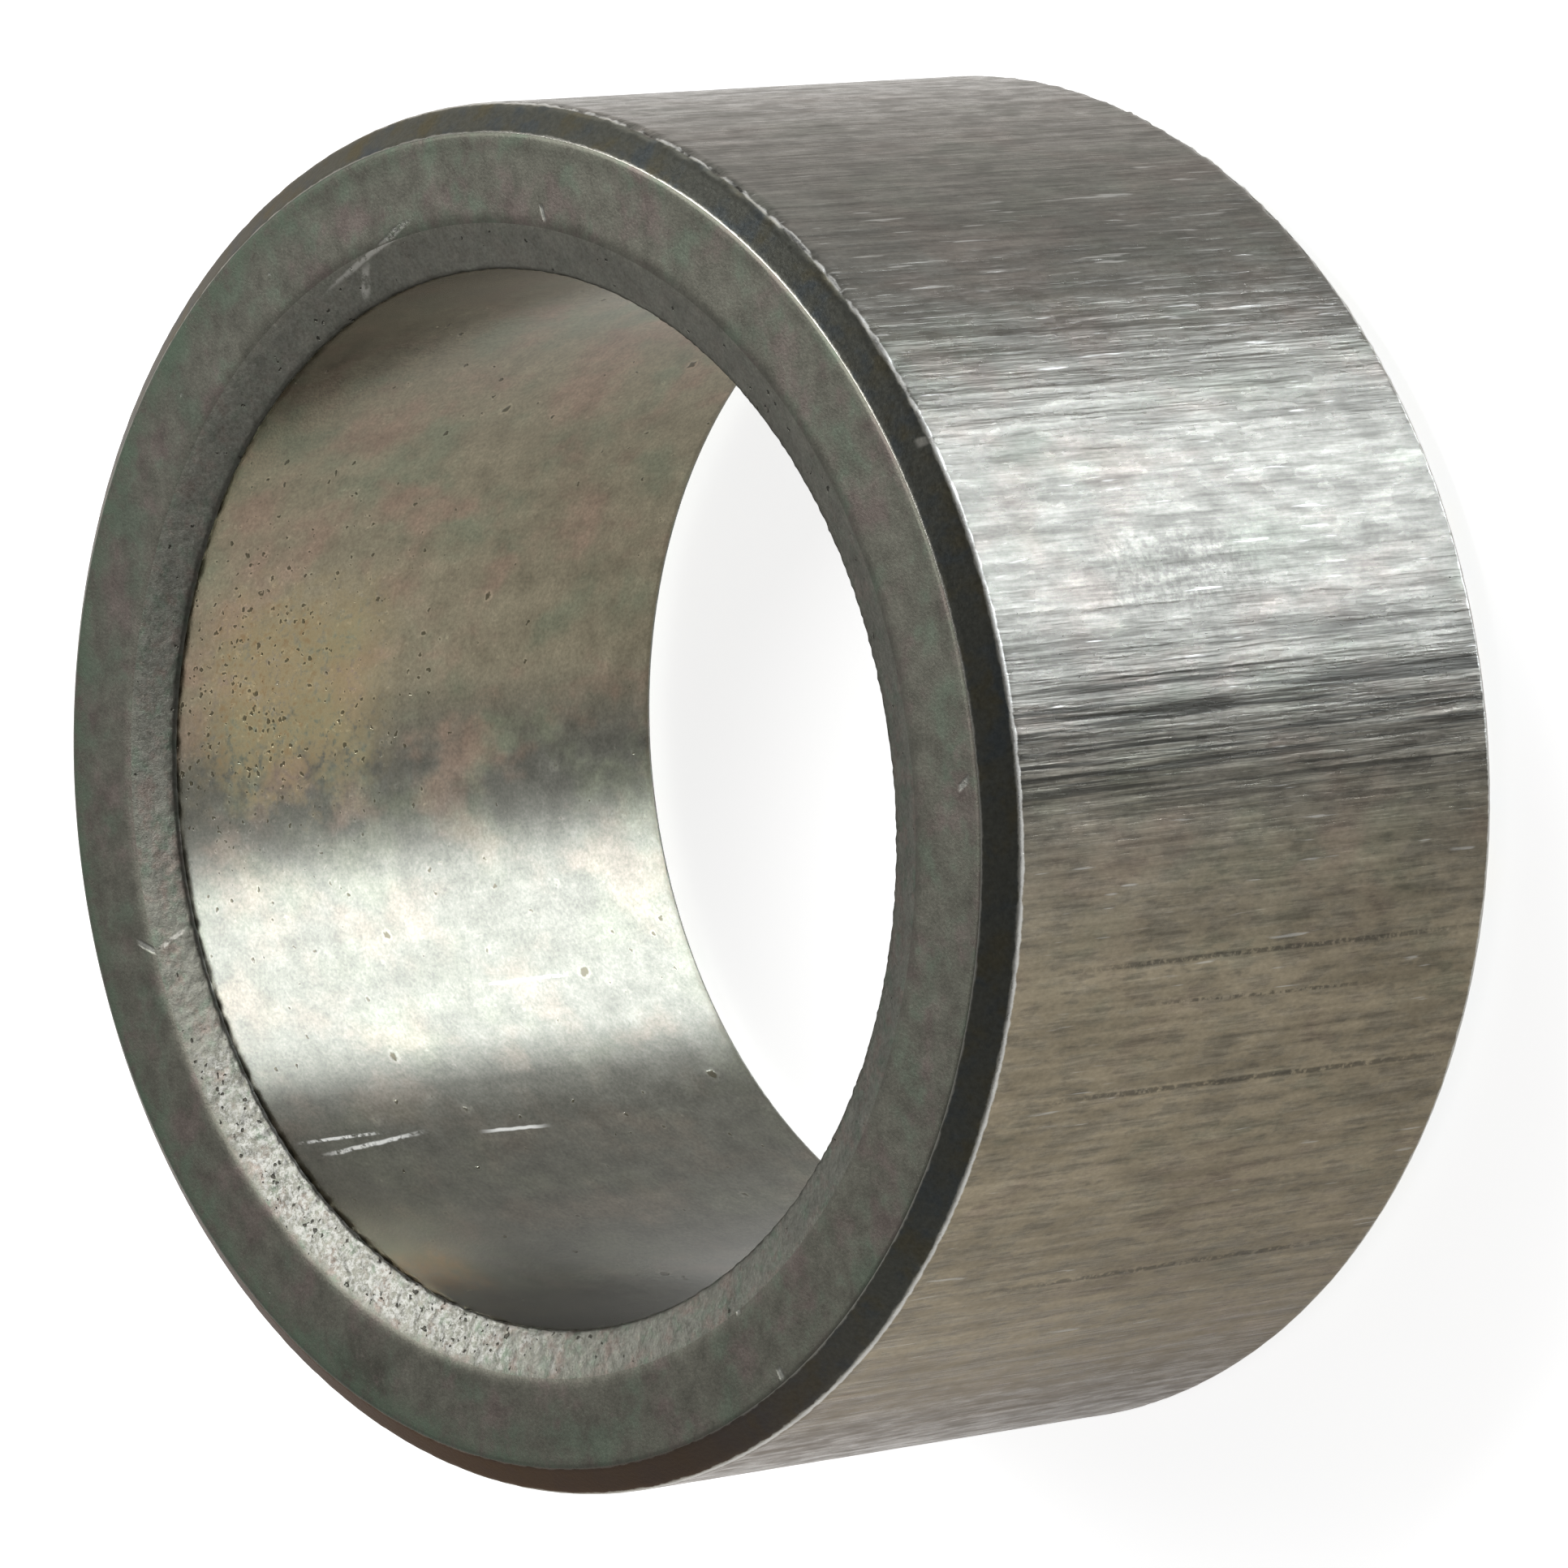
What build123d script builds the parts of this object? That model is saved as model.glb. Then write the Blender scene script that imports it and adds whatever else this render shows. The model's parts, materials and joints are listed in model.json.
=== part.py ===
from build123d import *
import os

# Spacer sleeve: a short, thick-walled steel ring that slides over a shaft or a bolt and keeps
# two parts a set distance apart. It is sawn from drawn tube and turned on a lathe, so it is one
# piece with one section, revolved about its axis.
#
# Frame: millimetres. The sleeve stands on one end. The origin is the centre of that end, +Z is
# the axis of the bore and points at the other end. Both ends are alike.

# Driving dimensions
bore_diameter = 38.0        # the bore that the shaft passes through
wall_thickness = 6.0        # from the bore to the outside
sleeve_length = 25.5        # end face to end face, the distance that the sleeve keeps

lead_radial = 1.1           # lead chamfer round the outside of each end, across the end face
lead_axial = 0.95           # the same chamfer, along the outside
mouth_radial = 1.8          # shallow countersink round the bore at each end, across the end face
mouth_axial = 0.7           # the same countersink, along the bore
edge_break = 0.15           # radius left on every turned corner after deburring

# Places that follow from them
bore_radius = bore_diameter / 2
outside_radius = bore_radius + wall_thickness
mouth_radius = bore_radius + mouth_radial
lead_radius = outside_radius - lead_radial


def end_corners():
    """Corners of the section at the lower end, as (radius, height), from the bore outwards."""
    return [
        (bore_radius, mouth_axial),
        (mouth_radius, 0),
        (lead_radius, 0),
        (outside_radius, lead_axial),
    ]


def wall_section():
    """The wall cut through the axis: two straight walls, two end faces, four chamfers."""
    lower = end_corners()
    upper = [(radius, sleeve_length - height) for radius, height in reversed(lower)]
    outline = Polyline(*lower, *upper, close=True)
    section = make_face(outline)
    return fillet(section.vertices(), edge_break)


def spacer_sleeve():
    """The section stood upright in the XZ plane and turned once round the axis."""
    sleeve = revolve(Plane.XZ * wall_section(), Axis.Z)
    sleeve.label = "spacer_sleeve"
    return sleeve


parts = {"spacer_sleeve": spacer_sleeve()}

os.makedirs("parts", exist_ok=True)
for node, shape in parts.items():
    export_step(shape, f"parts/{node}.step")
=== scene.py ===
import bpy
import json
import math
from mathutils import Matrix, Vector


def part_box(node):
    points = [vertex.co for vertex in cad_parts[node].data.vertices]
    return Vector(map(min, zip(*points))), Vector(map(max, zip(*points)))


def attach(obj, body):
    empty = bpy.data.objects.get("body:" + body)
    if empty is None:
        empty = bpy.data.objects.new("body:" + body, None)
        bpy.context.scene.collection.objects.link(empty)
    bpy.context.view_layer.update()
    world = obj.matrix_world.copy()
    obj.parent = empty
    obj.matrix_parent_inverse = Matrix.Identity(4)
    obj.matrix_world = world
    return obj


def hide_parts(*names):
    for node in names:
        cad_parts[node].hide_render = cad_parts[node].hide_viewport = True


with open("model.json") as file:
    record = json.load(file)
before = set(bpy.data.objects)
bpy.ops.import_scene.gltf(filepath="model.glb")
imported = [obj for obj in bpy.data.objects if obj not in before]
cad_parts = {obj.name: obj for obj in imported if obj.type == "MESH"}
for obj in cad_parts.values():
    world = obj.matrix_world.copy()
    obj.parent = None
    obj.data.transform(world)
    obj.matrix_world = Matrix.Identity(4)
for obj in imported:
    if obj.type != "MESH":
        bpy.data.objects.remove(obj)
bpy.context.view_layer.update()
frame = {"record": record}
print("frame loaded")

mm = 0.001

# the sleeve's mesh

boreMount = next(m for m in frame["record"]["mounts"] if m["name"] == "bore")
low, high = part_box("spacer_sleeve")

sleeveShape = {
    "bore": boreMount["dims"]["r_mm"] * mm,
    "outside": min(high.x, high.y, -low.x, -low.y),
    "height": high.z,
    "leadAcross": 1.1 * mm,    # lead chamfer, across the end face
    "leadAlong": 0.95 * mm,    # and down the outside
    "mouthAcross": 1.8 * mm,   # countersink, across the end face
    "mouthAlong": 0.7 * mm,    # and down the bore
    "edgeBreak": 0.13 * mm,    # rounding left on the turned corners
    "mouthBreak": 0.50 * mm,   # the worn corner between end face and countersink
    "steps": 880,              # faces round the sleeve
    "wallRows": 14,            # first rows up each long wall
    "faceRows": 9,             # rows across each end face
    "leadRows": 7,             # rows down each lead, and in each first row of the outer wall
    "mouthRows": 11,           # rows down each countersink, and in each first row of the bore
}


def selectNothing():
    bpy.ops.object.select_all(action="DESELECT")


def startEdit(piece):
    selectNothing()
    piece.select_set(True)
    bpy.context.view_layer.objects.active = piece
    bpy.ops.object.mode_set(mode="EDIT")


def pickEdges(piece, test):
    bpy.ops.mesh.select_mode(type="EDGE")
    bpy.ops.mesh.select_all(action="DESELECT")
    bpy.ops.object.mode_set(mode="OBJECT")
    verts = piece.data.vertices
    for edge in piece.data.edges:
        a, b = (verts[i].co for i in edge.vertices)
        edge.select = test(a, b)
    bpy.ops.object.mode_set(mode="EDIT")


def pickVerts(piece, test):
    bpy.ops.mesh.select_mode(type="VERT")
    bpy.ops.mesh.select_all(action="DESELECT")
    bpy.ops.object.mode_set(mode="OBJECT")
    for vert in piece.data.vertices:
        vert.select = test(vert.co)
    bpy.ops.object.mode_set(mode="EDIT")


def drawSection(shape):
    # a plane standing on its edge at +X is the wall cut through
    wall = shape["outside"] - shape["bore"]
    middle = (shape["outside"] + shape["bore"]) / 2
    bpy.ops.mesh.primitive_plane_add(size=1, location=(middle, 0, shape["height"] / 2),
                                     rotation=(math.pi / 2, 0, 0))
    section = bpy.context.object
    section.scale = (wall, shape["height"], 1)
    bpy.ops.object.transform_apply(location=True, rotation=True, scale=True)
    startEdit(section)
    for end, up in ((0, -1), (shape["height"], 1)):
        corners = (
            (shape["outside"], 1, shape["leadAcross"], shape["leadAlong"]),
            (shape["bore"], -1, shape["mouthAcross"], shape["mouthAlong"]),
        )
        for radius, out, across, along in corners:
            slope = Vector((out * along, 0, up * across)).normalized()
            bpy.ops.mesh.select_all(action="SELECT")
            bpy.ops.mesh.bisect(plane_co=(radius - out * across, 0, end), plane_no=slope,
                                clear_outer=True)
    mouthOuter = shape["bore"] + shape["mouthAcross"]
    pickVerts(section, lambda co: abs(co.x - mouthOuter) > 0.02 * mm)
    bpy.ops.mesh.bevel(offset=shape["edgeBreak"], segments=3, affect="VERTICES")
    pickVerts(section, lambda co: abs(co.x - mouthOuter) < 0.02 * mm)
    bpy.ops.mesh.bevel(offset=shape["mouthBreak"], segments=5, affect="VERTICES")
    bpy.ops.mesh.select_all(action="SELECT")
    bpy.ops.mesh.delete(type="ONLY_FACE")
    return section


def addRows(section, shape):
    # the walls are cut twice: their first rows are as short as a lead or a countersink,
    # so the later tests pick them too
    def long(a, b):
        return abs(a.z - b.z) > shape["height"] / 2

    def flat(a, b):
        return abs(a.z - b.z) < 0.01 * mm and abs(a.x - b.x) > 1 * mm

    def sloped(a, b, low, high):
        rise = abs(a.z - b.z)
        return 0.4 * mm < rise < 2 * mm and low < (a.x + b.x) / 2 < high

    middle = (shape["outside"] + shape["bore"]) / 2
    stretches = (
        (long, shape["wallRows"]),
        (flat, shape["faceRows"]),
        (lambda a, b: sloped(a, b, middle, 1), shape["leadRows"]),
        (lambda a, b: sloped(a, b, 0, middle), shape["mouthRows"]),
    )
    for test, rows in stretches:
        pickEdges(section, test)
        bpy.ops.mesh.subdivide(number_cuts=rows - 1)


def turnSleeve(shape):
    sleeve = drawSection(shape)
    addRows(sleeve, shape)
    # a sixteenth of a turn, then doubled four times, is much quicker than one whole spin
    sector = math.tau / 16
    bpy.ops.mesh.select_all(action="SELECT")
    bpy.ops.mesh.spin(steps=shape["steps"] // 16, angle=sector, center=(0, 0, 0), axis=(0, 0, 1))
    for doubling in range(4):
        bpy.ops.mesh.select_all(action="SELECT")
        bpy.ops.mesh.duplicate()
        bpy.ops.transform.rotate(value=sector * 2 ** doubling, orient_axis="Z",
                                 center_override=(0, 0, 0))
    bpy.ops.mesh.select_all(action="SELECT")
    bpy.ops.mesh.remove_doubles(threshold=0.002 * mm)
    bpy.ops.mesh.normals_make_consistent(inside=False)
    bpy.ops.object.mode_set(mode="OBJECT")
    sleeve.name = "turned_sleeve"
    return sleeve


sleeve = turnSleeve(sleeveShape)
print("sleeve turned:", len(sleeve.data.polygons), "faces")

# wear that has a shape: ragged corners, a pitted countersink, an end face that isn't dead flat

wearShape = {
    "leadTeeth": {"grain": 0.50 * mm, "depth": 0.22 * mm, "contrast": 2.0, "reach": 0.30 * mm},
    "mouthPits": {"grain": 0.26 * mm, "depth": 0.11 * mm, "contrast": 1.6},
    "boreChips": {"grain": 0.28 * mm, "depth": 0.15 * mm, "contrast": 1.8, "reach": 0.32 * mm},
    "faceDips": {"grain": 2.2 * mm, "depth": 0.05 * mm, "contrast": 1.0},
    "drawGrooves": {"grain": 0.45 * mm, "depth": 0.035 * mm, "contrast": 1.6},
    "grooveLength": 30,                       # how many times longer than wide a draw groove is
    "chatter": {"at": 58, "spread": 22},      # degrees from -Y, where the tool chattered
    "corrosion": {"at": 54, "spread": 32},    # degrees from +Y in the bore, where it lay
}


def fromEnd(co):
    return min(co.z, sleeveShape["height"] - co.z)


def nearRing(co, radius, depth, reach):
    across = math.hypot(co.x, co.y) - radius
    along = fromEnd(co) - depth
    return max(0, 1 - math.hypot(across, along) / reach)


def nearPlace(turn, settings):
    return math.exp(-((turn - settings["at"]) / settings["spread"]) ** 2)


def roughen(piece, name, weight, along=None):
    # push the surface in by a noise, as far as weight allows at each point
    settings = wearShape[name]
    group = piece.vertex_groups.new(name=name)
    for vert in piece.data.vertices:
        amount = weight(vert.co)
        if amount > 0.01:
            group.add([vert.index], min(1, amount), "REPLACE")
    grain = bpy.data.textures.new(name, "CLOUDS")
    grain.noise_scale = settings["grain"]
    grain.contrast = settings["contrast"]
    selectNothing()
    piece.select_set(True)
    bpy.context.view_layer.objects.active = piece
    rough = piece.modifiers.new(name, "DISPLACE")
    rough.texture = grain
    rough.texture_coords = "LOCAL"
    if along:
        rough.texture_coords = "OBJECT"
        rough.texture_coords_object = along
    rough.vertex_group = name
    rough.mid_level = 1
    rough.strength = settings["depth"]
    bpy.ops.object.modifier_apply(modifier=name)


def wearSleeve(piece):
    outside, bore = sleeveShape["outside"], sleeveShape["bore"]
    leadInner = outside - sleeveShape["leadAcross"]
    mouthOuter = bore + sleeveShape["mouthAcross"]
    mouthDeep = sleeveShape["mouthAlong"]
    leadDeep = sleeveShape["leadAlong"]

    def toothed(co):
        # roughest over one quarter, where the tool chattered
        turn = math.degrees(math.atan2(co.x, -co.y))
        chatter = nearPlace(turn, wearShape["chatter"])
        ring = nearRing(co, outside, leadDeep, wearShape["leadTeeth"]["reach"])
        return ring * (0.10 + 0.90 * chatter)

    def corroded(co):
        # the upper mouth is eaten away on the side it lay on
        turn = math.degrees(math.atan2(-co.x, co.y))
        side = nearPlace(turn, wearShape["corrosion"])
        return side if co.z > sleeveShape["height"] / 2 else 0

    def mouth(co):
        radius = math.hypot(co.x, co.y)
        inside = bore + 0.1 * mm < radius < mouthOuter - 0.1 * mm
        shallow = fromEnd(co) < mouthDeep + 0.05 * mm
        return 0.15 + 0.85 * corroded(co) if inside and shallow else 0

    def boreRing(co):
        ring = nearRing(co, bore, mouthDeep, wearShape["boreChips"]["reach"])
        upper = 0.45 if co.z > sleeveShape["height"] / 2 else 0.05
        return ring * (upper + 0.5 * corroded(co))

    def endFace(co):
        radius = math.hypot(co.x, co.y)
        edge = min(radius - mouthOuter, leadInner - radius) / (0.5 * mm)
        return max(0, min(1, edge)) if fromEnd(co) < 0.02 * mm else 0

    def outsideWall(co):
        radius = math.hypot(co.x, co.y)
        edge = (fromEnd(co) - leadDeep - 0.1 * mm) / (0.6 * mm)
        return max(0, min(1, edge)) if radius > outside - 0.1 * mm else 0

    bpy.ops.object.empty_add(location=(0, 0, 0))
    stretched = bpy.context.object
    stretched.scale = (1, 1, wearShape["grooveLength"])
    bpy.context.view_layer.update()

    roughen(piece, "drawGrooves", outsideWall, along=stretched)
    roughen(piece, "faceDips", endFace)
    roughen(piece, "mouthPits", mouth)
    roughen(piece, "leadTeeth", toothed)
    roughen(piece, "boreChips", boreRing)

    selectNothing()
    stretched.select_set(True)
    bpy.ops.object.delete()
    selectNothing()
    piece.select_set(True)
    bpy.context.view_layer.objects.active = piece
    for group in list(piece.vertex_groups):
        piece.vertex_groups.remove(group)
    bpy.ops.object.shade_smooth_by_angle(angle=math.radians(50))


wearSleeve(sleeve)
print("corners and pits worn in")

# node helpers


def place(tree, kind, inputs=None, **settings):
    node = tree.nodes.new("ShaderNode" + kind)
    for name, value in settings.items():
        setattr(node, name, value)
    for name, value in (inputs or {}).items():
        if isinstance(value, bpy.types.NodeSocket):
            tree.links.new(value, node.inputs[name])
        else:
            node.inputs[name].default_value = value
    return node


def work(tree, operation, a, b=0.0, clamp=False):
    return place(tree, "Math", {0: a, 1: b}, operation=operation, use_clamp=clamp).outputs[0]


def ease(tree, value, start, end, low=0.0, high=1.0):
    inputs = {"Value": value, "From Min": start, "From Max": end, "To Min": low, "To Max": high}
    return place(tree, "MapRange", inputs, interpolation_type="SMOOTHSTEP").outputs["Result"]


def blend(tree, factor, a, b, kind="MIX"):
    node = place(tree, "Mix", {0: factor, 6: a, 7: b}, data_type="RGBA", blend_type=kind)
    return node.outputs[2]


def stretch(tree, vector, amounts):
    return place(tree, "Mapping", {"Vector": vector, "Scale": amounts}).outputs[0]


def cloud(tree, vector, scale, detail=3.0, rough=0.55):
    inputs = {"Vector": vector, "Scale": scale, "Detail": detail, "Roughness": rough}
    return place(tree, "TexNoise", inputs).outputs["Fac"]


def newGroup(name, inputs, outputs):
    tree = bpy.data.node_groups.new(name, "ShaderNodeTree")
    for label, kind, value in inputs:
        socket = tree.interface.new_socket(label, in_out="INPUT", socket_type="NodeSocket" + kind)
        if value is not None:
            socket.default_value = value
    for label, kind in outputs:
        tree.interface.new_socket(label, in_out="OUTPUT", socket_type="NodeSocket" + kind)
    source = tree.nodes.new("NodeGroupInput")
    result = tree.nodes.new("NodeGroupOutput")
    return tree, source.outputs, result.inputs


def use(tree, group, **inputs):
    node = tree.nodes.new("ShaderNodeGroup")
    node.node_tree = group
    for name, value in inputs.items():
        socket = node.inputs[name]
        if isinstance(value, bpy.types.NodeSocket):
            tree.links.new(value, socket)
        else:
            socket.default_value = value
    return node.outputs


# node groups that the steels share; every length in them is in millimetres

corners = {
    "faceRim": (sleeveShape["outside"] - sleeveShape["leadAcross"]) / mm,
    "outside": sleeveShape["outside"] / mm,
    "outsideDepth": sleeveShape["leadAlong"] / mm,
    "bore": sleeveShape["bore"] / mm,
    "boreDepth": sleeveShape["mouthAlong"] / mm,
    "length": sleeveShape["height"] / mm,
}
degreesInRadian = math.degrees(1)


def makeSleevePlace():
    # where a point is on the sleeve: its radius, its height, and its angle in degrees,
    # counted from -Y on the outside and from +Y in the bore
    inputs = [("Vector", "Vector", None)]
    outputs = [("Radius", "Float"), ("Height", "Float"), ("Angle", "Float"),
               ("BoreAngle", "Float")]
    tree, source, result = newGroup("sleevePlace", inputs, outputs)
    split = place(tree, "SeparateXYZ", {0: source["Vector"]}).outputs
    x, y, z = split["X"], split["Y"], split["Z"]
    squares = work(tree, "ADD", work(tree, "MULTIPLY", x, x), work(tree, "MULTIPLY", y, y))
    radius = work(tree, "SQRT", squares)
    away = work(tree, "MULTIPLY", y, -1.0)
    back = work(tree, "MULTIPLY", x, -1.0)
    angle = work(tree, "MULTIPLY", work(tree, "ARCTAN2", x, away), degreesInRadian)
    boreAngle = work(tree, "MULTIPLY", work(tree, "ARCTAN2", back, y), degreesInRadian)
    tree.links.new(radius, result["Radius"])
    tree.links.new(z, result["Height"])
    tree.links.new(angle, result["Angle"])
    tree.links.new(boreAngle, result["BoreAngle"])
    return tree


def makeMottle():
    inputs = [("Vector", "Vector", None), ("Scale", "Float", 0.5), ("Amount", "Float", 0.5),
              ("Plain", "Color", (0.2, 0.2, 0.2, 1)), ("Cool", "Color", (0.2, 0.2, 0.2, 1)),
              ("Warm", "Color", (0.2, 0.2, 0.2, 1))]
    tree, source, result = newGroup("steelMottle", inputs, [("Color", "Color")])
    first = cloud(tree, source["Vector"], source["Scale"], 3.0, 0.6)
    # the same noise read elsewhere, so that the two tints do not fall together
    moved = place(tree, "Mapping", {"Vector": source["Vector"], "Location": (31, 17, 8)})
    second = cloud(tree, moved.outputs[0], source["Scale"], 3.0, 0.6)
    cool = work(tree, "MULTIPLY", ease(tree, first, 0.48, 0.68), source["Amount"])
    warm = work(tree, "MULTIPLY", ease(tree, second, 0.48, 0.68), source["Amount"])
    tinted = blend(tree, cool, source["Plain"], source["Cool"])
    tree.links.new(blend(tree, warm, tinted, source["Warm"]), result["Color"])
    return tree


def makePits():
    inputs = [("Vector", "Vector", None), ("Scale", "Float", 1.0), ("Size", "Float", 0.3),
              ("Share", "Float", 0.3)]
    outputs = [("Mask", "Float"), ("Rim", "Float")]
    tree, source, result = newGroup("steelPits", inputs, outputs)
    wobble = place(tree, "TexNoise", {"Vector": source["Vector"], "Scale": 4.0, "Detail": 2.0})
    shift = place(tree, "VectorMath", {0: wobble.outputs["Color"], 1: (0.5, 0.5, 0.5)},
                  operation="SUBTRACT").outputs[0]
    shift = place(tree, "VectorMath", {0: shift, "Scale": 0.35}, operation="SCALE").outputs[0]
    bent = place(tree, "VectorMath", {0: source["Vector"], 1: shift}, operation="ADD").outputs[0]
    cells = place(tree, "TexVoronoi", {"Vector": bent, "Scale": source["Scale"]}).outputs
    chance = place(tree, "SeparateColor", {0: cells["Color"]}).outputs
    chosen = work(tree, "LESS_THAN", chance[0], source["Share"])
    size = ease(tree, chance[1], 0.0, 1.0, 0.35, 1.0)
    size = work(tree, "MULTIPLY", source["Size"], size)
    reach = work(tree, "DIVIDE", cells["Distance"], size)
    hole = work(tree, "MULTIPLY", ease(tree, reach, 0.6, 1.0, 1.0, 0.0), chosen)
    ring = work(tree, "MULTIPLY", ease(tree, reach, 1.0, 1.6, 1.0, 0.0), chosen)
    tree.links.new(hole, result["Mask"])
    tree.links.new(work(tree, "SUBTRACT", ring, hole, True), result["Rim"])
    return tree


def makeStreaks():
    # broken lines that run along the sleeve
    inputs = [("Vector", "Vector", None), ("Scale", "Float", 3.0)]
    outputs = [("Fine", "Float"), ("Coarse", "Float"), ("Patches", "Float")]
    tree, source, result = newGroup("steelStreaks", inputs, outputs)
    fine = cloud(tree, stretch(tree, source["Vector"], (1, 1, 0.07)), source["Scale"], 3.0, 0.65)
    slow = work(tree, "MULTIPLY", source["Scale"], 0.33)
    coarse = cloud(tree, stretch(tree, source["Vector"], (1, 1, 0.03)), slow, 3.0, 0.6)
    patches = cloud(tree, stretch(tree, source["Vector"], (1, 1, 0.35)), slow, 3.0, 0.6)
    tree.links.new(ease(tree, fine, 0.3, 0.7), result["Fine"])
    tree.links.new(ease(tree, coarse, 0.32, 0.68), result["Coarse"])
    tree.links.new(ease(tree, patches, 0.32, 0.68), result["Patches"])
    return tree


def makeMark():
    # one scratch or stain at a known place: At and Width are degrees round the sleeve
    inputs = [("Turn", "Float", 0.0), ("Height", "Float", 0.0), ("Bend", "Float", 0.0),
              ("Ragged", "Float", 1.0), ("At", "Float", 0.0), ("Lean", "Float", 0.0),
              ("From", "Float", 0.0), ("To", "Float", 1.0), ("Width", "Float", 0.3),
              ("Break", "Float", 0.3)]
    tree, source, result = newGroup("steelMark", inputs, [("Mask", "Float")])
    middle = work(tree, "MULTIPLY", work(tree, "ADD", source["From"], source["To"]), 0.5)
    half = work(tree, "MULTIPLY", work(tree, "SUBTRACT", source["To"], source["From"]), 0.5)
    up = work(tree, "SUBTRACT", source["Height"], middle)
    line = work(tree, "ADD", source["At"], work(tree, "MULTIPLY", up, source["Lean"]))
    line = work(tree, "ADD", line, work(tree, "MULTIPLY", source["Bend"], source["Width"]))
    aside = work(tree, "ABSOLUTE", work(tree, "SUBTRACT", source["Turn"], line))
    across = ease(tree, work(tree, "DIVIDE", aside, source["Width"]), 0.35, 1.0, 1.0, 0.0)
    ends = work(tree, "DIVIDE", work(tree, "ABSOLUTE", up), half)
    along = ease(tree, ends, 0.35, 1.0, 1.0, 0.0)
    broken = ease(tree, source["Ragged"], work(tree, "SUBTRACT", source["Break"], 0.08),
                  work(tree, "ADD", source["Break"], 0.08))
    mask = work(tree, "MULTIPLY", work(tree, "MULTIPLY", across, along), broken)
    tree.links.new(mask, result["Mask"])
    return tree


def makeCornerWear():
    # a ragged band along a turned corner, at both ends of the sleeve; it lays bare metal, dark edges
    # and painted highlight
    inputs = [("Vector", "Vector", None), ("Radius", "Float", 0.0), ("Height", "Float", 0.0),
              ("Ring", "Float", 0.0), ("Depth", "Float", 0.0), ("Width", "Float", 0.2),
              ("Length", "Float", corners["length"])]
    tree, source, result = newGroup("cornerWear", inputs, [("Mask", "Float")])
    other = work(tree, "SUBTRACT", source["Length"], source["Height"])
    end = work(tree, "MINIMUM", source["Height"], other)
    across = work(tree, "SUBTRACT", source["Radius"], source["Ring"])
    along = work(tree, "SUBTRACT", end, source["Depth"])
    squares = work(tree, "ADD", work(tree, "MULTIPLY", across, across),
                   work(tree, "MULTIPLY", along, along))
    distance = work(tree, "SQRT", squares)
    ragged = cloud(tree, source["Vector"], 1.6, 4.0, 0.65)
    reach = work(tree, "MULTIPLY", source["Width"], work(tree, "MULTIPLY", ragged, 2.0))
    mask = ease(tree, work(tree, "DIVIDE", distance, reach), 0.5, 1.0, 1.0, 0.0)
    tree.links.new(mask, result["Mask"])
    return tree


sleevePlace = makeSleevePlace()
mottle = makeMottle()
pits = makePits()
streaks = makeStreaks()
mark = makeMark()
cornerWear = makeCornerWear()
print("node groups made")


def startSteel(name, settings):
    paint = bpy.data.materials.new(name)
    paint.use_nodes = True
    tree = paint.node_tree
    shader = tree.nodes["Principled BSDF"]
    shader.inputs["Metallic"].default_value = 1
    shader.inputs["Specular Tint"].default_value = settings.get("edgeTint", (1, 1, 1, 1))
    where = place(tree, "TexCoord")
    inMm = stretch(tree, where.outputs["Object"], (1000, 1000, 1000))
    spot = use(tree, sleevePlace, Vector=inMm)
    return paint, tree, shader, inMm, spot


def cornerMask(tree, vector, spot, ring, depth, width):
    return use(tree, cornerWear, Vector=vector, Radius=spot["Radius"], Height=spot["Height"],
               Ring=ring, Depth=depth, Width=width)["Mask"]


def shadeBy(tree, color, value, low, high):
    # multiply a colour by a grey that runs from low to high as value runs from 0 to 1
    grey = place(tree, "MapRange", {"Value": value, "To Min": low, "To Max": high}).outputs["Result"]
    mixed = place(tree, "CombineXYZ", {0: grey, 1: grey, 2: grey}).outputs[0]
    return blend(tree, 1.0, color, mixed, "MULTIPLY")


def finishSteel(tree, shader, color, rough, height, depth):
    tree.links.new(color, shader.inputs["Base Color"])
    tree.links.new(rough, shader.inputs["Roughness"])
    bump = place(tree, "Bump", {"Height": height, "Distance": depth * mm, "Strength": 1.0})
    tree.links.new(bump.outputs[0], shader.inputs["Normal"])


def awayFrom(tree, turn, at):
    # degrees between a point and a place on the sleeve
    return work(tree, "ABSOLUTE", work(tree, "SUBTRACT", turn, at))


def addMarks(tree, lists, vector, turn, height):
    # for each list, the strongest of its marks at each point
    bend = work(tree, "SUBTRACT", cloud(tree, vector, 1.5, 2.0, 0.6), 0.5)
    ragged = cloud(tree, vector, 3.0, 4.0, 0.7)
    totals = []
    for marks in lists:
        total = None
        for entry in marks:
            mask = use(tree, mark, Turn=turn, Height=height, Bend=bend, Ragged=ragged,
                       **entry)["Mask"]
            total = mask if total is None else work(tree, "MAXIMUM", total, mask)
        totals.append(total)
    return totals


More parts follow.
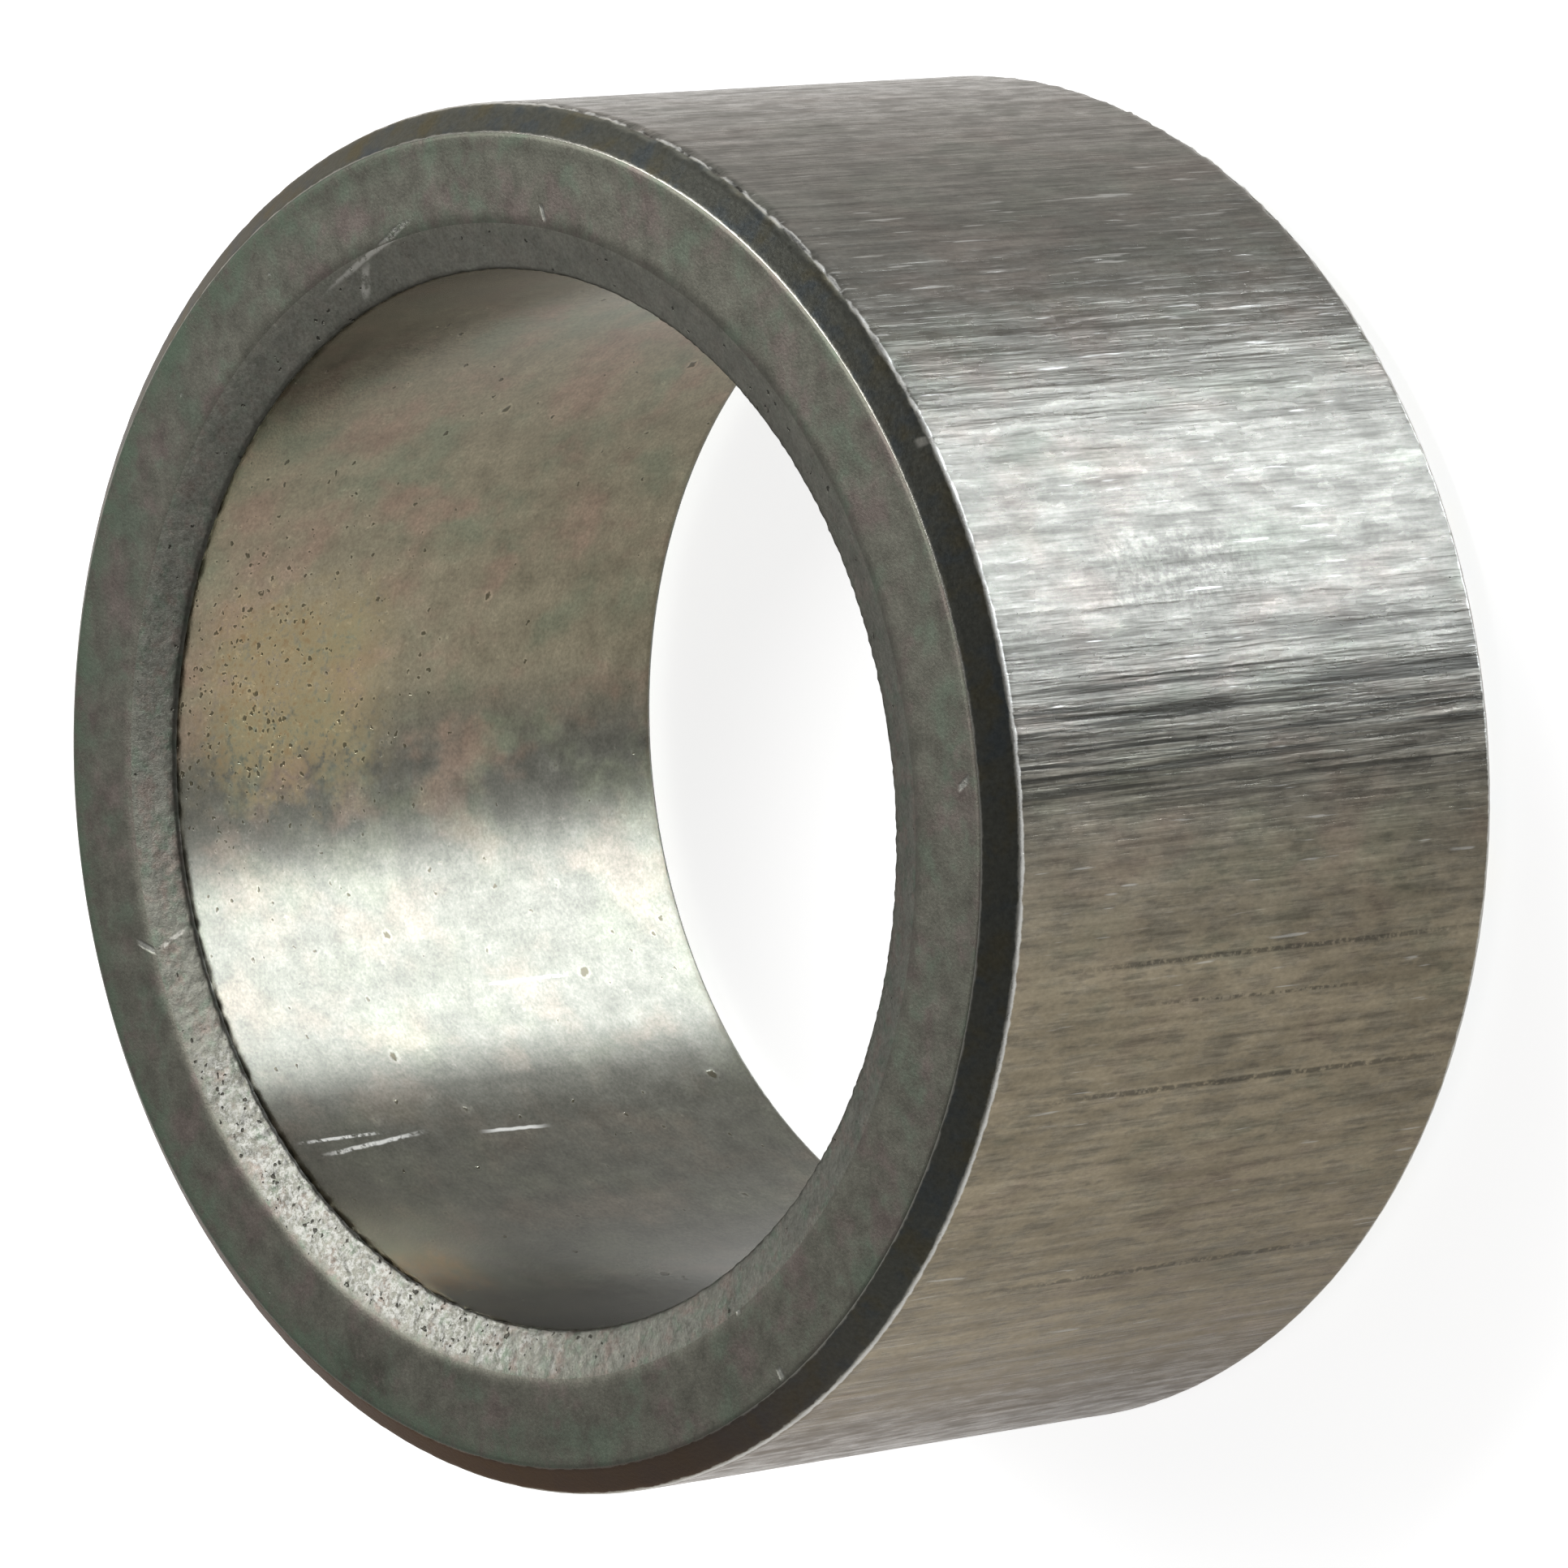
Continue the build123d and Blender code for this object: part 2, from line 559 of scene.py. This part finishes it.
faceLook = {
    "plain": (0.140, 0.137, 0.113, 1),
    "cool": (0.118, 0.140, 0.108, 1),
    "warm": (0.156, 0.128, 0.116, 1),
    "rough": 0.42,
    "nick": (0.26, 0.26, 0.235, 1),
    "soot": (0.062, 0.062, 0.050, 1),
    "nicks": [
        {"At": 97.5, "Width": 1.6, "From": 20.7, "To": 21.3, "Lean": -8, "Break": 0.44},
        {"At": 75.9, "Width": 0.35, "From": 20.9, "To": 21.6, "Lean": 1.2, "Break": 0.36},
        {"At": -64.3, "Width": 0.5, "From": 20.3, "To": 20.9, "Lean": 0.0, "Break": 0.30},
        {"At": -62.6, "Width": 0.4, "From": 23.3, "To": 23.9, "Lean": 0.0, "Break": 0.30},
        {"At": -169.5, "Width": 0.5, "From": 20.5, "To": 21.6, "Lean": -2.0, "Break": 0.35},
        {"At": -2.6, "Width": 0.5, "From": 22.9, "To": 23.6, "Lean": 1.5, "Break": 0.35},
    ],
    "blotches": [
        {"At": -119, "Width": 5.0, "From": 21.6, "To": 24.4, "Break": 0.40},
    ],
    "rimTint": (0.095, 0.135, 0.095, 1),
    "greenAt": 0.0,
    "bumpDepth": 0.020,
}


def makeFaceSteel(look):
    paint, tree, shader, inMm, spot = startSteel("faceSteel", look)
    color = use(tree, mottle, Vector=inMm, Scale=0.55, Amount=0.8, Plain=look["plain"],
                Cool=look["cool"], Warm=look["warm"])["Color"]
    grain = cloud(tree, inMm, 9.0, 4.0, 0.7)
    color = shadeBy(tree, color, grain, 0.52, 1.48)
    soft = cloud(tree, inMm, 1.1, 3.0, 0.65)
    color = shadeBy(tree, color, soft, 0.58, 1.42)
    specks = use(tree, pits, Vector=inMm, Scale=1.3, Size=0.11, Share=0.06)
    marks = (look["nicks"], look["blotches"])
    nicks, blotches = addMarks(tree, marks, inMm, spot["Angle"], spot["Radius"])
    bare = work(tree, "MAXIMUM", work(tree, "MULTIPLY", specks["Mask"], 0.6), nicks)
    color = blend(tree, work(tree, "MULTIPLY", blotches, 0.6), color, look["soot"])
    color = blend(tree, bare, color, look["nick"])
    # greenish towards the rim, on one side
    outer = ease(tree, spot["Radius"], corners["faceRim"] - 1.5, corners["faceRim"])
    aside = ease(tree, awayFrom(tree, spot["BoreAngle"], look["greenAt"]), 60.0, 110.0, 1.0, 0.15)
    rim = work(tree, "MULTIPLY", work(tree, "MULTIPLY", outer, aside), ease(tree, soft, 0.3, 0.6))
    color = blend(tree, work(tree, "MULTIPLY", rim, 0.7), color, look["rimTint"])
    rough = place(tree, "MapRange", {"Value": soft, "To Min": look["rough"] - 0.1,
                                     "To Max": look["rough"] + 0.1}).outputs["Result"]
    height = work(tree, "SUBTRACT", work(tree, "MULTIPLY", grain, 0.5), bare)
    finishSteel(tree, shader, color, rough, height, look["bumpDepth"])
    return paint


leadLook = {
    "plain": (0.128, 0.130, 0.112, 1),
    "cool": (0.100, 0.115, 0.122, 1),
    "warm": (0.138, 0.126, 0.086, 1),
    # worn: bare metal along the corners, partly painted highlight
    "worn": (0.46, 0.45, 0.40, 1),
    "brown": (0.080, 0.056, 0.044, 1),
    "brownAt": -105.0,
    "edgeTint": (0.45, 0.42, 0.40, 1),
    "nicks": [
        {"At": 25.8, "Width": 0.5, "From": 24.55, "To": 24.95, "Break": 0.3},
    ],
    "rough": 0.36,
    "bumpDepth": 0.012,
}


def makeLeadSteel(look):
    paint, tree, shader, inMm, spot = startSteel("leadSteel", look)
    color = use(tree, mottle, Vector=inMm, Scale=0.7, Amount=0.8, Plain=look["plain"],
                Cool=look["cool"], Warm=look["warm"])["Color"]
    grain = cloud(tree, inMm, 6.0, 4.0, 0.7)
    color = shadeBy(tree, color, grain, 0.6, 1.4)
    # the worn corners are partly wear and partly painted highlight
    inner = cornerMask(tree, inMm, spot, corners["faceRim"], 0.0, 0.14)
    outer = cornerMask(tree, inMm, spot, corners["outside"], corners["outsideDepth"], 0.15)
    # brown where it lay
    lay = ease(tree, awayFrom(tree, spot["Angle"], look["brownAt"]), 25.0, 60.0, 0.85, 0.0)
    color = blend(tree, lay, color, look["brown"])
    clean = work(tree, "SUBTRACT", 1.0, work(tree, "MULTIPLY", lay, 0.9))
    worn = work(tree, "MAXIMUM", work(tree, "MULTIPLY", inner, clean),
                work(tree, "MULTIPLY", outer, 0.7))
    nicks, = addMarks(tree, (look["nicks"],), inMm, spot["Angle"], spot["Height"])
    color = blend(tree, work(tree, "MAXIMUM", worn, nicks), color, look["worn"])
    dulled = place(tree, "MapRange", {"Value": grain, "To Min": look["rough"] - 0.08,
                                      "To Max": look["rough"] + 0.08}).outputs["Result"]
    rough = work(tree, "SUBTRACT", dulled, work(tree, "MULTIPLY", inner, 0.12))
    finishSteel(tree, shader, color, rough, grain, look["bumpDepth"])
    return paint


mouthLook = {
    "plain": (0.165, 0.165, 0.139, 1),
    "cool": (0.134, 0.165, 0.127, 1),
    "warm": (0.186, 0.153, 0.131, 1),
    # far: painted light, a lighter colour round the far side
    "farSideLight": (0.190, 0.186, 0.156, 1),
    "farSideLightAt": 75.0,
    "eatenAt": 53.0,
    "pit": (0.060, 0.058, 0.048, 1),
    "bright": (0.34, 0.34, 0.315, 1),
    "nick": (0.42, 0.41, 0.37, 1),
    "rough": 0.42,
    "bumpDepth": 0.034,
    "nicks": [
        {"At": 103.0, "Width": 3.0, "From": 20.2, "To": 20.9, "Lean": -20, "Break": 0.40},
        {"At": 104.5, "Width": 0.9, "From": 19.2, "To": 20.5, "Lean": -2.5, "Break": 0.44},
        {"At": -169.5, "Width": 0.35, "From": 19.2, "To": 20.6, "Lean": 1.0, "Break": 0.46},
    ],
}


def makeMouthSteel(look):
    paint, tree, shader, inMm, spot = startSteel("mouthSteel", look)
    color = use(tree, mottle, Vector=inMm, Scale=1.2, Amount=0.8, Plain=look["plain"],
                Cool=look["cool"], Warm=look["warm"])["Color"]
    grain = cloud(tree, inMm, 4.6, 4.0, 0.8)
    # painted light: lighter round the far side
    farSideLight = ease(tree, awayFrom(tree, spot["Angle"], look["farSideLightAt"]), 30.0, 85.0, 0.8, 0.0)
    color = blend(tree, farSideLight, color, look["farSideLight"])
    color = shadeBy(tree, color, cloud(tree, inMm, 1.1, 3.0, 0.65), 0.58, 1.42)
    speckle = cloud(tree, inMm, 8.0, 3.0, 0.7)
    color = shadeBy(tree, color, speckle, 0.45, 1.55)
    # eaten away on the side it lay on, and only speckled elsewhere
    ragged = work(tree, "MULTIPLY", work(tree, "SUBTRACT", cloud(tree, inMm, 1.1), 0.5), 30.0)
    aside = awayFrom(tree, spot["BoreAngle"], look["eatenAt"])
    eaten = ease(tree, work(tree, "ADD", aside, ragged), 20.0, 36.0, 1.0, 0.16)
    worn = work(tree, "MULTIPLY", cloud(tree, inMm, 2.4, 4.0, 0.6), 0.9)
    border = ease(tree, work(tree, "ADD", spot["Radius"], worn), 20.75, 21.25, 1.0, 0.0)
    eaten = work(tree, "MULTIPLY", eaten, border)
    bright = ease(tree, grain, 0.42, 0.60)
    color = blend(tree, work(tree, "MULTIPLY", bright, eaten), color, look["bright"])
    share = work(tree, "MULTIPLY", eaten, 0.34)
    holes = use(tree, pits, Vector=inMm, Scale=4.4, Size=0.46, Share=share)
    nicks, = addMarks(tree, (look["nicks"],), inMm, spot["Angle"], spot["Radius"])
    color = blend(tree, nicks, color, look["nick"])
    edge = cornerMask(tree, inMm, spot, corners["bore"], corners["boreDepth"], 0.20)
    dark = work(tree, "MAXIMUM", holes["Mask"], work(tree, "MULTIPLY", edge, 0.4))
    color = blend(tree, dark, color, look["pit"])
    rough = place(tree, "MapRange", {"Value": grain, "To Min": look["rough"] - 0.1,
                                     "To Max": look["rough"] + 0.14}).outputs["Result"]
    height = work(tree, "SUBTRACT", work(tree, "MULTIPLY", grain, 0.6),
                  work(tree, "MULTIPLY", holes["Mask"], 0.9))
    finishSteel(tree, shader, color, rough, height, look["bumpDepth"])
    return paint


boreLook = {
    # clean is darkened as painted shade, and plain is lightened partly as painted light
    "clean": (0.098, 0.096, 0.080, 1),
    "plain": (0.205, 0.182, 0.128, 1),
    "cool": (0.165, 0.176, 0.122, 1),
    "warm": (0.232, 0.168, 0.126, 1),
    "yellow": (0.285, 0.225, 0.120, 1),
    "rust": (0.200, 0.125, 0.060, 1),
    "pit": (0.050, 0.044, 0.026, 1),
    "pitsAt": -17.0,
    "scratch": (0.62, 0.62, 0.59, 1),
    "rough": 0.23,
    "bumpDepth": 0.007,
    "yellowPatches": [
        {"At": -16, "Width": 15, "From": 13, "To": 25, "Break": 0.42},
    ],
    "rustPatches": [
        {"At": 62, "Width": 7, "From": 21.0, "To": 25.2, "Break": 0.46},
        {"At": -18, "Width": 14, "From": 16, "To": 25, "Break": 0.60},
    ],
    "scratches": [
        {"At": 39.5, "Width": 0.35, "From": 11.8, "To": 15.6, "Lean": -0.1, "Break": 0.2},
        {"At": 39.0, "Width": 0.40, "From": 17.6, "To": 23.8, "Lean": 0.28, "Break": 0.45},
        {"At": 37.6, "Width": 0.30, "From": 19.5, "To": 24.4, "Lean": 0.0, "Break": 0.48},
        {"At": 20.6, "Width": 0.25, "From": 7.3, "To": 11.5, "Break": 0.42},
    ],
}


def makeBoreSteel(look):
    paint, tree, shader, inMm, spot = startSteel("boreSteel", look)
    turn = spot["BoreAngle"]
    # one side is stained, partly lightened as painted light; the other is clean, and darkened as
    # painted shade
    stains = ease(tree, turn, -8.0, 6.0, 0.75, 0.15)
    stainedVersusShadedSide = ease(tree, turn, -18.0, -5.0, 1.0, 0.0)
    stainAndShadeBase = blend(tree, stainedVersusShadedSide, look["clean"], look["plain"])
    color = use(tree, mottle, Vector=stretch(tree, inMm, (1, 1, 0.8)), Scale=0.33, Amount=stains,
                Plain=stainAndShadeBase, Cool=look["cool"], Warm=look["warm"])["Color"]
    grain = cloud(tree, inMm, 7.0, 3.0, 0.75)
    color = shadeBy(tree, color, grain, 0.5, 1.5)
    soft = cloud(tree, inMm, 0.9, 4.0, 0.65)
    color = shadeBy(tree, color, soft, 0.58, 1.42)
    lines = use(tree, streaks, Vector=inMm, Scale=3.0)
    color = shadeBy(tree, color, lines["Coarse"], 0.95, 1.05)
    marks = (look["yellowPatches"], look["rustPatches"], look["scratches"])
    yellow, rust, bare = addMarks(tree, marks, inMm, turn, spot["Height"])
    color = blend(tree, work(tree, "MULTIPLY", yellow, 0.6), color, look["yellow"])
    color = blend(tree, work(tree, "MULTIPLY", rust, 0.6), color, look["rust"])
    # corrosion pits gather near the mouth, over one side
    near = ease(tree, spot["Height"], 9.0, 22.0)
    side = ease(tree, awayFrom(tree, turn, look["pitsAt"]), 4.0, 30.0, 1.0, 0.0)
    gathered = work(tree, "MULTIPLY", near, side)
    gathered = work(tree, "MULTIPLY", gathered, ease(tree, soft, 0.35, 0.55))
    share = work(tree, "ADD", work(tree, "MULTIPLY", gathered, 0.75), 0.02)
    small = use(tree, pits, Vector=inMm, Scale=3.6, Size=0.42, Share=share)
    large = use(tree, pits, Vector=inMm, Scale=0.9, Size=0.22, Share=0.10)
    dark = work(tree, "MAXIMUM", small["Mask"], large["Mask"])
    light = work(tree, "MAXIMUM", small["Rim"], large["Rim"])
    color = shadeBy(tree, color, light, 1.0, 1.25)
    color = blend(tree, work(tree, "MULTIPLY", dark, 0.8), color, look["pit"])
    edge = cornerMask(tree, inMm, spot, corners["bore"], corners["boreDepth"], 0.40)
    color = blend(tree, work(tree, "MULTIPLY", edge, 0.35), color, look["pit"])
    color = blend(tree, bare, color, look["scratch"])
    rough = place(tree, "MapRange", {"Value": soft, "To Min": look["rough"] - 0.05,
                                     "To Max": look["rough"] + 0.07}).outputs["Result"]
    height = work(tree, "SUBTRACT", work(tree, "MULTIPLY", grain, 0.5), dark)
    finishSteel(tree, shader, color, rough, height, look["bumpDepth"])
    return paint


outsideLook = {
    "plain": (0.082, 0.080, 0.071, 1),
    "cool": (0.068, 0.080, 0.062, 1),
    "warm": (0.102, 0.076, 0.066, 1),
    # olive: a real stain tint, its lighter level partly painted light
    "olive": (0.186, 0.158, 0.110, 1),
    # brown: partly tarnish, partly painted shade
    "brown": (0.038, 0.026, 0.014, 1),
    "dark": (0.018, 0.018, 0.016, 1),
    "bright": (0.45, 0.45, 0.43, 1),
    "edgeTint": (0.85, 0.82, 0.79, 1),
    "rough": 0.27,
    "bumpDepth": 0.011,
    # deep draw lines, partly painted shade where they lie
    "deepLinesAndShadeAt": 0.5,
    "deepLinesAndShadeReach": 10.0,
    "dashesAt": 42.0,
    "scratches": [
        {"At": -30.0, "Width": 0.35, "From": -3.0, "To": 26.0, "Lean": 0.02, "Break": 0.42},
        {"At": -49.2, "Width": 0.40, "From": -2.0, "To": 24.0, "Lean": -0.01, "Break": 0.44},
        {"At": -18.8, "Width": 0.30, "From": -2.0, "To": 25.0, "Lean": 0.02, "Break": 0.46},
        {"At": -22.5, "Width": 0.22, "From": 4.0, "To": 20.0, "Lean": 0.05, "Break": 0.48},
    ],
    "scuffs": [
        {"At": 12.5, "Width": 5.0, "From": 9.0, "To": 21.0, "Break": 0.50},
        {"At": 6.5, "Width": 0.8, "From": 3.5, "To": 6.0, "Lean": 1.5, "Break": 0.42},
    ],
}


def makeOutsideSteel(look):
    paint, tree, shader, inMm, spot = startSteel("outsideSteel", look)
    turn = spot["Angle"]
    stains = ease(tree, turn, 2.0, -22.0, 0.25, 1.0)
    color = use(tree, mottle, Vector=stretch(tree, inMm, (1, 1, 0.55)), Scale=0.36, Amount=stains,
                Plain=look["plain"], Cool=look["cool"], Warm=look["warm"])["Color"]
    lines = use(tree, streaks, Vector=inMm, Scale=6.0)
    # the side it lay on is stained olive, its lighter level partly painted light; further round it
    # turns near-black brown, partly tarnish and partly painted shade
    oliveLitSide = ease(tree, turn, 5.0, -25.0)
    oliveStainAndLight = work(tree, "MULTIPLY", oliveLitSide, ease(tree, lines["Patches"], 0.0, 0.9, 0.62, 0.97))
    color = blend(tree, oliveStainAndLight, color, look["olive"])
    # partly painted shade: near-black brown towards the edge
    lay = ease(tree, turn, -54.0, -76.0, 0.0, 0.95)
    color = blend(tree, lay, color, look["brown"])
    calm = ease(tree, turn, 6.0, -20.0, 0.0, 0.9)
    quiet = work(tree, "MULTIPLY", ease(tree, lines["Patches"], 0.3, 0.8), calm)
    fine = place(tree, "Mix", {0: quiet, 2: lines["Fine"], 3: 0.5}).outputs[0]
    color = shadeBy(tree, color, fine, 0.78, 1.22)
    color = shadeBy(tree, color, lines["Coarse"], 0.84, 1.16)
    grain = cloud(tree, stretch(tree, inMm, (1, 1, 0.5)), 7.0, 3.0, 0.7)
    color = shadeBy(tree, color, grain, 0.66, 1.34)
    soft = cloud(tree, stretch(tree, inMm, (1, 1, 0.5)), 0.7, 4.0, 0.65)
    color = shadeBy(tree, color, soft, 0.55, 1.45)
    marks = (look["scratches"], look["scuffs"])
    scratch, scuff = addMarks(tree, marks, inMm, turn, spot["Height"])
    # the deepest draw lines lie together, and their near-black there is partly painted shade
    deepLineShadeZone = ease(tree, awayFrom(tree, turn, look["deepLinesAndShadeAt"]), 3.0, look["deepLinesAndShadeReach"],
                    1.0, 0.0)
    cut = cloud(tree, stretch(tree, inMm, (1, 1, 0.02)), 4.2, 4.0, 0.6)
    cutsAndShade = work(tree, "MULTIPLY", ease(tree, cut, 0.46, 0.60), deepLineShadeZone)
    dark = work(tree, "MAXIMUM", work(tree, "MULTIPLY", cutsAndShade, 0.85),
                work(tree, "MULTIPLY", scratch, 0.6))
    dark = work(tree, "MAXIMUM", dark, work(tree, "MULTIPLY", scuff, 0.35))
    color = blend(tree, dark, color, look["dark"])
    # odd light dashes where the drawing die dragged
    dash = cloud(tree, stretch(tree, inMm, (1, 1, 0.07)), 4.6, 2.0, 0.5)
    dashZone = ease(tree, awayFrom(tree, turn, look["dashesAt"]), 6.0, 20.0, 0.05, 0.0)
    dashes = ease(tree, work(tree, "ADD", dash, dashZone), 0.69, 0.76)
    color = blend(tree, work(tree, "MULTIPLY", dashes, 0.35), color, look["bright"])
    # partly wear, partly painted highlight along the outer corner
    edge = cornerMask(tree, inMm, spot, corners["outside"], corners["outsideDepth"], 0.16)
    color = blend(tree, work(tree, "MULTIPLY", edge, 0.8), color, look["bright"])
    rough = place(tree, "MapRange", {"Value": lines["Patches"], "To Min": look["rough"] - 0.04,
                                     "To Max": look["rough"] + 0.12}).outputs["Result"]
    height = work(tree, "ADD", work(tree, "MULTIPLY", fine, 0.6),
                  work(tree, "MULTIPLY", lines["Coarse"], 0.9))
    finishSteel(tree, shader, color, rough, height, look["bumpDepth"])
    return paint


def coatSleeve(piece):
    steels = (makeFaceSteel(faceLook), makeLeadSteel(leadLook), makeMouthSteel(mouthLook),
              makeBoreSteel(boreLook), makeOutsideSteel(outsideLook))
    for paint in steels:
        piece.data.materials.append(paint)
    faceSlot, leadSlot, mouthSlot, boreSlot, outsideSlot = range(len(steels))
    outside, bore = sleeveShape["outside"], sleeveShape["bore"]
    leadInner = outside - sleeveShape["leadAcross"]
    mouthOuter = bore + sleeveShape["mouthAcross"]
    middle = (outside + bore) / 2
    for face in piece.data.polygons:
        center = face.center
        radius = math.hypot(center.x, center.y)
        end = fromEnd(center)
        if radius > middle and end > sleeveShape["leadAlong"]:
            face.material_index = outsideSlot
        elif radius < middle and end > sleeveShape["mouthAlong"] + 0.2 * mm:
            face.material_index = boreSlot
        elif radius > leadInner:
            face.material_index = leadSlot
        elif radius < mouthOuter:
            face.material_index = mouthSlot
        else:
            face.material_index = faceSlot


coatSleeve(sleeve)
print("steels laid on")
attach(sleeve, "root")
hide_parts("spacer_sleeve")

stageSet = {
    "floorSize": 6.0,
    "floorDrop": 0.02 * mm,    # a hair below the sleeve's lower end
    "floorColour": (0.82, 0.82, 0.82, 1),
    "floorGlow": 0.80,
}


def seenDirectly(tree):
    # 1 where the eye, a reflection or a view through glass meets the background
    path = place(tree, "LightPath").outputs
    seen = work(tree, "MAXIMUM", path["Is Camera Ray"], path["Is Transmission Ray"])
    return work(tree, "MAXIMUM", seen, path["Is Glossy Ray"])


def layFloor(settings):
    # white to the eye and in the metal; it casts no shadow, so the lamp below shines through
    bpy.ops.mesh.primitive_grid_add(x_subdivisions=8, y_subdivisions=8, size=settings["floorSize"],
                                    location=(0, 0, -settings["floorDrop"]))
    floor = bpy.context.object
    floor.name = "pale_floor"
    floor.visible_shadow = False
    paint = bpy.data.materials.new("paleFloor")
    paint.use_nodes = True
    tree = paint.node_tree
    tree.nodes.clear()
    matte = place(tree, "BsdfDiffuse", {"Color": settings["floorColour"]}).outputs[0]
    level = work(tree, "MULTIPLY", seenDirectly(tree), settings["floorGlow"])
    glow = place(tree, "Emission", {"Strength": level}).outputs[0]
    both = place(tree, "AddShader", {0: matte, 1: glow}).outputs[0]
    place(tree, "OutputMaterial", {"Surface": both})
    floor.data.materials.append(paint)


layFloor(stageSet)

# towards is the way from the sleeve to the lamp, and glow is how bright its face is
lampSet = {
    "key": {"towards": (0.45, 0.33, 0.83), "distance": 0.45, "size": 0.30, "glow": 5.0},
    "underTable": {"towards": (0.409, -0.606, -0.682), "distance": 0.40, "size": 0.26, "glow": 9.0,
                   "tint": (0.93, 1.0, 1.09)},
}


def hangLamp(name, settings):
    aim = Vector((0, 0, sleeveShape["height"] / 2))
    direction = Vector(settings["towards"]).normalized()
    bpy.ops.object.light_add(type="AREA", location=aim + direction * settings["distance"])
    lamp = bpy.context.object
    lamp.name = name
    lamp.rotation_euler = direction.to_track_quat("Z", "Y").to_euler()
    lamp.data.size = settings["size"]
    lamp.data.color = settings.get("tint", (1, 1, 1))
    lamp.data.energy = settings["glow"] * math.pi * settings["size"] ** 2
    # the lamp below is sampled only as a light, so that the table does not hide it
    lamp.data.cycles.use_multiple_importance_sampling = settings["towards"][2] > 0


for name, settings in lampSet.items():
    hangLamp(name, settings)

worldSet = {
    "rim": 0.95,             # the pale backdrop at the horizon, as it is seen
    "edge": 0.55,            # the same backdrop, as it lights dull surfaces
    "behindCamera": 0.14,    # overhead, on the camera's side
    "beyond": 0.50,          # overhead, on the far side
}


def lightWorld(settings):
    world = bpy.data.worlds.new("studioGlow")
    bpy.context.scene.world = world
    world.use_nodes = True
    tree = world.node_tree
    tree.nodes.clear()
    where = place(tree, "TexCoord").outputs["Generated"]
    split = place(tree, "SeparateXYZ", {0: where}).outputs
    side = ease(tree, split["Y"], -0.9, 0.9, settings["behindCamera"], settings["beyond"])
    rise = ease(tree, split["Z"], 0.03, 0.35)
    edge = ease(tree, seenDirectly(tree), 0.0, 1.0, settings["edge"], settings["rim"])
    rim = work(tree, "MULTIPLY", edge, work(tree, "SUBTRACT", 1.0, rise))
    above = work(tree, "ADD", rim, work(tree, "MULTIPLY", side, rise))
    # nothing comes from under the table but its lamps
    level = work(tree, "MULTIPLY", above, ease(tree, split["Z"], -0.12, -0.02))
    sky = place(tree, "Background", {"Strength": level}).outputs[0]
    place(tree, "OutputWorld", {"Surface": sky})


lightWorld(worldSet)

cameraSet = {
    "aim": (-0.00042, -0.0004, 0.0123),
    "distance": 0.4424,
    "elevation": 43.46,
    "roll": -96.27,
    "lens": 278.7,
    "sensor": 36,
    "nearest": 0.01,
}


def placeCamera(settings):
    bpy.ops.object.camera_add()
    camera = bpy.context.object
    turn = (Matrix.Rotation(math.radians(90 - settings["elevation"]), 4, "X")
            @ Matrix.Rotation(math.radians(settings["roll"]), 4, "Z"))
    aim = Vector(settings["aim"])
    back = turn @ Vector((0, 0, 1))
    camera.matrix_world = Matrix.Translation(aim + back * settings["distance"]) @ turn
    camera.data.lens = settings["lens"]
    camera.data.sensor_width = settings["sensor"]
    camera.data.clip_start = settings["nearest"]
    bpy.context.scene.camera = camera


placeCamera(cameraSet)
bpy.context.scene.view_settings.view_transform = "Standard"
print("studio ready")
